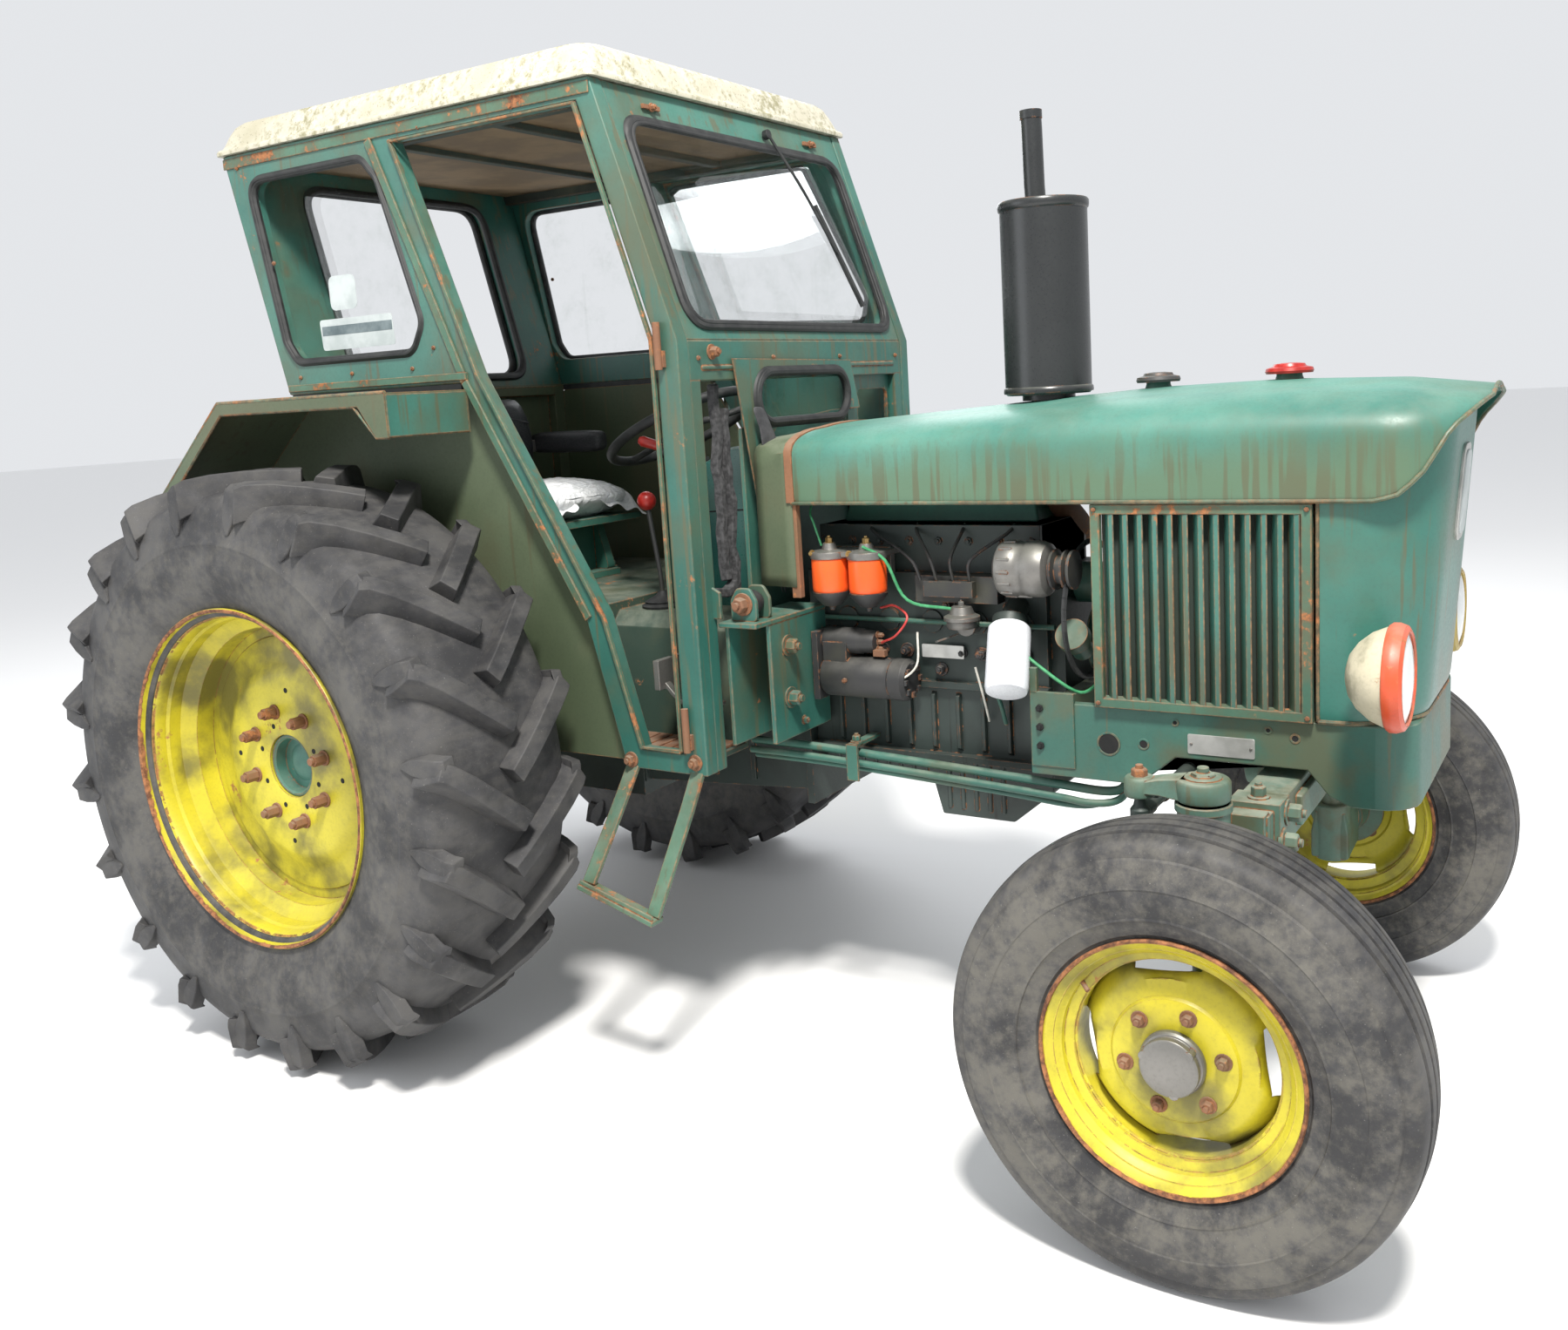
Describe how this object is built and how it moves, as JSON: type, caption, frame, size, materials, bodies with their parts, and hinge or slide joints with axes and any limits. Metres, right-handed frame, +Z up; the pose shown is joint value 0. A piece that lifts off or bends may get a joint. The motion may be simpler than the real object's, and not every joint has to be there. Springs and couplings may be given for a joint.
{
  "type": "farm tractor",
  "caption": "Weathered two-wheel-drive farm tractor with a glazed safety cab, steered front wheels, opening door and rear lift linkage.",
  "frame": {"origin": "on the ground under the middle of the machine's length and width", "axes": "+X forwards, +Y to the driver's left, +Z up"},
  "size_m": [3.4529, 1.95, 2.326],
  "materials": {
    "green_paint": "faded green paint with rust at the edges",
    "cast": "oily cast iron, old green paint",
    "black_paint": "satin black, worn",
    "steel": "dull dirty steel",
    "orange_can": "orange enamel cans with dark bowls",
    "white_can": "white enamel can",
    "lamp": "cream enamel, rusted",
    "glass": "clear dirty glass",
    "olive_paint": "dirty olive-brown paint",
    "roof_white": "off-white resin, moss stained",
    "plastic_wrap": "translucent white plastic bag over the cushion",
    "vinyl": "black vinyl",
    "tyre": "weathered dusty rubber",
    "yellow_paint": "faded yellow paint, dirt and rust at the rim edge"
  },
  "bodies": {
    "chassis": {"front_axle": "green_paint", "front_frame": "green_paint", "engine": "cast", "starter_motor": "black_paint", "alternator": "steel", "fuel_filters": "orange_can", "oil_filter": "white_can", "radiator": "black_paint", "transmission": "cast", "bonnet": "green_paint", "scuttle_cowl": "green_paint", "silencer": "black_paint", "nose_panel": "green_paint", "side_grille_right": "green_paint", "side_grille_left": "green_paint", "headlamp_right": "lamp", "headlamp_left": "lamp", "cab_side_right": "green_paint", "cab_side_left": "green_paint", "quarter_glass_right": "glass", "quarter_glass_left": "glass", "mudguard_right": "green_paint", "mudguard_left": "green_paint", "cab_bracket_right": "green_paint", "cab_bracket_left": "green_paint", "cab_front": "green_paint", "windscreen": "glass", "loose_front_panel": "green_paint", "cab_rear": "olive_paint", "cab_roof": "roof_white", "cab_floor": "olive_paint", "dash_cowl": "green_paint", "seat_base": "green_paint", "seat_cushion": "plastic_wrap", "seat_back": "vinyl"},
    "door": {"door_left": "green_paint", "door_glass_left": "glass"},
    "wheel_steering": {"steering_wheel": "black_paint"},
    "lift_arm_pair": {"lift_arms": "cast"},
    "draft_link_pair": {"lower_link_right": "cast", "lower_link_left": "cast"},
    "lift_rod_pair": {"lift_rod_right": "cast", "lift_rod_left": "cast"},
    "track_rod_bar": {"track_rod": "cast"},
    "rear_wheel_right": {"rear_tyre_right": "tyre", "rear_rim_right": "yellow_paint", "rear_hub_right": "cast"},
    "front_wheel_right": {"front_tyre_right": "tyre", "front_rim_right": "yellow_paint", "front_hub_right": "steel"},
    "stub_axle_right": {"steering_knuckle_right": "green_paint"},
    "rear_wheel_left": {"rear_tyre_left": "tyre", "rear_rim_left": "yellow_paint", "rear_hub_left": "cast"},
    "front_wheel_left": {"front_tyre_left": "tyre", "front_rim_left": "yellow_paint", "front_hub_left": "steel"},
    "stub_axle_left": {"steering_knuckle_left": "green_paint"}
  },
  "joints": [
    {"name": "rear_wheel_right_spin", "type": "hinge", "parent": "chassis", "child": "rear_wheel_right", "pos_m": [-0.8255, -0.76, 0.72], "axis": [0, 1, 0], "continuous": true},
    {"name": "rear_wheel_left_spin", "type": "hinge", "parent": "chassis", "child": "rear_wheel_left", "pos_m": [-0.8255, 0.76, 0.72], "axis": [0, 1, 0], "continuous": true},
    {"name": "steer_right", "type": "hinge", "parent": "chassis", "child": "stub_axle_right", "pos_m": [1.3195, -0.545, 0.405], "axis": [0, 0, 1], "range_deg": [-38, 38]},
    {"name": "steer_left", "type": "hinge", "parent": "chassis", "child": "stub_axle_left", "pos_m": [1.3195, 0.545, 0.405], "axis": [0, 0, 1], "range_deg": [-38, 38]},
    {"name": "track_rod_pivot", "type": "hinge", "parent": "stub_axle_right", "child": "track_rod_bar", "pos_m": [1.2045, -0.545, 0.762], "axis": [0, 0, 1], "range_deg": [-38, 38]},
    {"name": "front_wheel_right_spin", "type": "hinge", "parent": "stub_axle_right", "child": "front_wheel_right", "pos_m": [1.3195, -0.7, 0.405], "axis": [0, 1, 0], "continuous": true},
    {"name": "front_wheel_left_spin", "type": "hinge", "parent": "stub_axle_left", "child": "front_wheel_left", "pos_m": [1.3195, 0.7, 0.405], "axis": [0, 1, 0], "continuous": true},
    {"name": "steering_wheel_turn", "type": "hinge", "parent": "chassis", "child": "wheel_steering", "pos_m": [-0.1935, 0, 1.474], "axis": [-0.4259, 0, 0.9048], "range_deg": [-456, 456]},
    {"name": "door_left_hinge", "type": "hinge", "parent": "chassis", "child": "door", "pos_m": [0.1645, 0.53, 1.2], "axis": [0, 0, 1], "range_deg": [-75, 0]},
    {"name": "lift", "type": "hinge", "parent": "chassis", "child": "lift_arm_pair", "pos_m": [-1.0405, 0, 0.985], "axis": [0, 1, 0], "range_deg": [-20, 35]},
    {"name": "draft_links", "type": "hinge", "parent": "chassis", "child": "draft_link_pair", "pos_m": [-1.1255, 0, 0.56], "axis": [0, 1, 0], "range_deg": [-20, 35]},
    {"name": "lift_rods", "type": "hinge", "parent": "lift_arm_pair", "child": "lift_rod_pair", "pos_m": [-1.3255, 0, 0.93], "axis": [0, 1, 0], "range_deg": [-40, 30]}
  ],
  "couplings": [
    {"joint": "steer_left", "follows": "steer_right", "ratio": 1},
    {"joint": "track_rod_pivot", "follows": "steer_right", "ratio": -1},
    {"joint": "steering_wheel_turn", "follows": "steer_right", "ratio": 12},
    {"joint": "draft_links", "follows": "lift", "ratio": 0.95},
    {"joint": "lift_rods", "follows": "lift", "ratio": -0.85}
  ]
}
